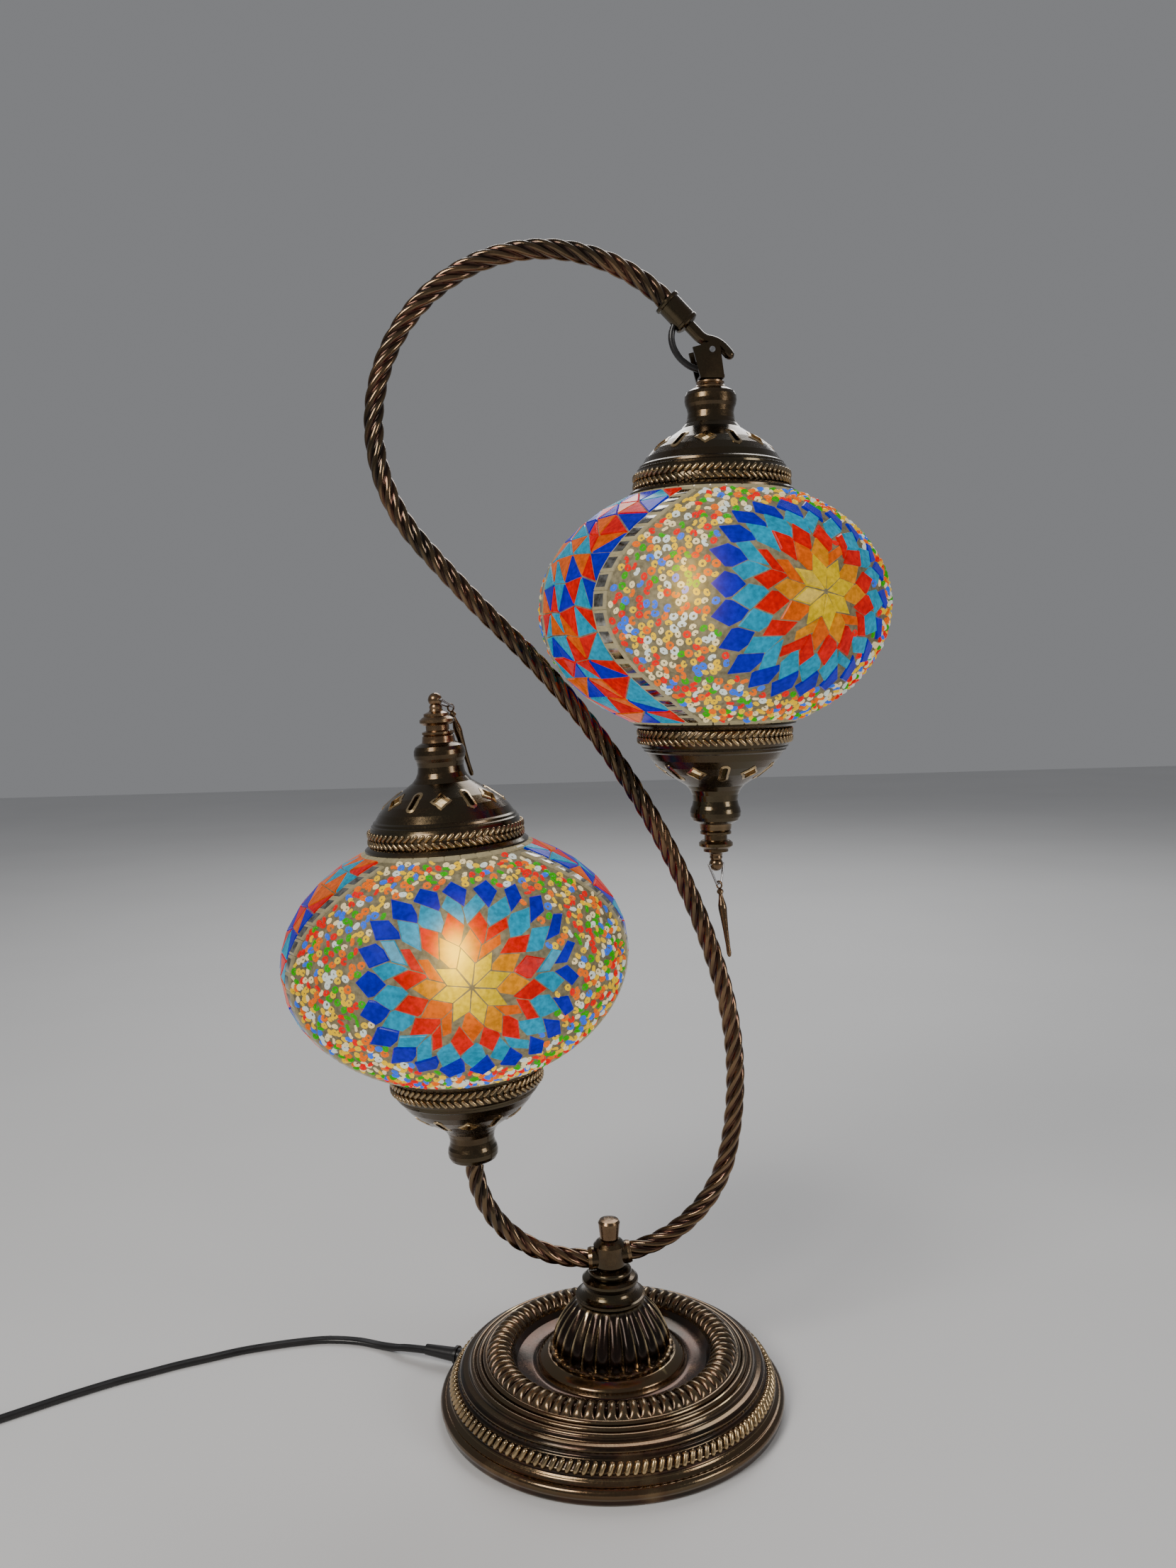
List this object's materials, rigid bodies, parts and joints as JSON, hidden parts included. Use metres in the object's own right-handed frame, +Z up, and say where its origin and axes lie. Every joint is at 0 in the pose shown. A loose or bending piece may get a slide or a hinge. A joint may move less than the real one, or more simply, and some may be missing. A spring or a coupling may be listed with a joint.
{
  "type": "table lamp",
  "caption": "Swan-neck table lamp with two mosaic glass globes, one standing on a short arm and one hanging from a hook, on a round fluted bronze base.",
  "frame": {"origin": "centre of the felt pad's underside, on the surface that the lamp stands on", "axes": "+Z up; the neck lies in the XZ plane with the hanging globe on the +X side and the standing globe on the -X side; +Y points away from the viewer"},
  "size_m": [0.6442, 0.2302, 0.6495],
  "materials": {
    "antique bronze": "dark antique bronze, worn bright on the raised edges",
    "worn brass": "aged brass, satin",
    "zinc plated steel": "zinc plated",
    "cast iron": "rough cast",
    "green felt": "felt",
    "black rubber": "matte",
    "mosaic glass": "coloured glass pieces, beads and pale grout on clear glass",
    "bulb glass": "opal, lit",
    "bulb base metal": "rolled thread",
    "black bakelite": "satin black",
    "grey plastic": "gloss",
    "plug pin metal": "nickel plated"
  },
  "bodies": {
    "lamp": {"base_cover": "antique bronze", "fluted_boss": "antique bronze", "boss_collar": "antique bronze", "column": "antique bronze", "top_knob": "worn brass", "tie_rod": "zinc plated steel", "rod_nut": "zinc plated steel", "base_weight": "cast iron", "bottom_plate": "zinc plated steel", "plate_screws": "zinc plated steel", "felt_pad": "green felt", "cord_grommet": "black rubber", "strain_relief": "black rubber", "neck_long_arm": "antique bronze", "neck_short_arm": "antique bronze", "tube_rings": "worn brass", "hook_ferrule": "antique bronze", "hook": "antique bronze", "hook_eye": "antique bronze", "pendant_flex": "black rubber", "lower_nipple": "worn brass", "lower_lock_nut": "zinc plated steel", "lower_cup": "antique bronze", "lower_globe": "mosaic glass", "lower_cap": "antique bronze", "lower_holder": "black bakelite", "lower_bulb_base": "bulb base metal", "lower_bulb": "bulb glass", "lower_cross_bar": "zinc plated steel", "lower_finial": "worn brass", "cord_lead": "black rubber", "cord_link": "black rubber", "cord_coil": "black rubber", "cord_tail": "black rubber", "switch_base": "black bakelite", "switch_cover": "black bakelite", "plug_body": "black bakelite", "plug_pins": "plug pin metal"},
    "bail": {"stirrup": "antique bronze", "swing_pin": "zinc plated steel"},
    "pendant": {"upper_nipple": "worn brass", "upper_lock_nut": "zinc plated steel", "upper_collar": "worn brass", "upper_cap": "antique bronze", "upper_globe": "mosaic glass", "upper_cup": "antique bronze", "upper_holder": "black bakelite", "upper_bulb_base": "bulb base metal", "upper_bulb": "bulb glass", "upper_cross_bar": "zinc plated steel", "upper_finial": "worn brass"},
    "upper_loop": {"upper_loop": "zinc plated steel"},
    "upper_drop": {"upper_drop": "worn brass"},
    "lower_loop": {"lower_loop": "zinc plated steel"},
    "lower_drop": {"lower_drop": "worn brass"},
    "rocker": {"switch_rocker": "grey plastic"}
  },
  "joints": [
    {"name": "pendant_swing", "type": "hinge", "parent": "lamp", "child": "bail", "pos_m": [0.0645, 0, 0.59], "axis": [0, -1, 0], "range_deg": [0, 25], "deforming": ["pendant_flex"]},
    {"name": "pendant_turn", "type": "hinge", "parent": "bail", "child": "pendant", "pos_m": [0.0645, 0, 0.577], "axis": [0, 0, 1], "range_deg": [-45, 45]},
    {"name": "upper_loop_swing", "type": "hinge", "parent": "pendant", "child": "upper_loop", "pos_m": [0.0645, 0, 0.3103], "axis": [-0.829, -0.5592, 0], "range_deg": [0, 60]},
    {"name": "upper_drop_swing", "type": "hinge", "parent": "upper_loop", "child": "upper_drop", "pos_m": [0.06567, -0.00174, 0.2995], "axis": [-0.829, -0.5592, 0], "range_deg": [0, 40]},
    {"name": "lower_loop_swing", "type": "hinge", "parent": "lamp", "child": "lower_loop", "pos_m": [-0.08942, 0, 0.4059], "axis": [0.6419, -0.766, 0.0336], "range_deg": [0, 60]},
    {"name": "lower_drop_swing", "type": "hinge", "parent": "lower_loop", "child": "lower_drop", "pos_m": [-0.0815, 0.00646, 0.40183], "axis": [0.6419, -0.766, 0.0336], "range_deg": [0, 40]},
    {"name": "switch_rocker_tilt", "type": "hinge", "parent": "lamp", "child": "rocker", "pos_m": [-0.39, -0.012, 0.014], "axis": [0.524, -0.8517, 0], "range_deg": [-16, 0]}
  ]
}
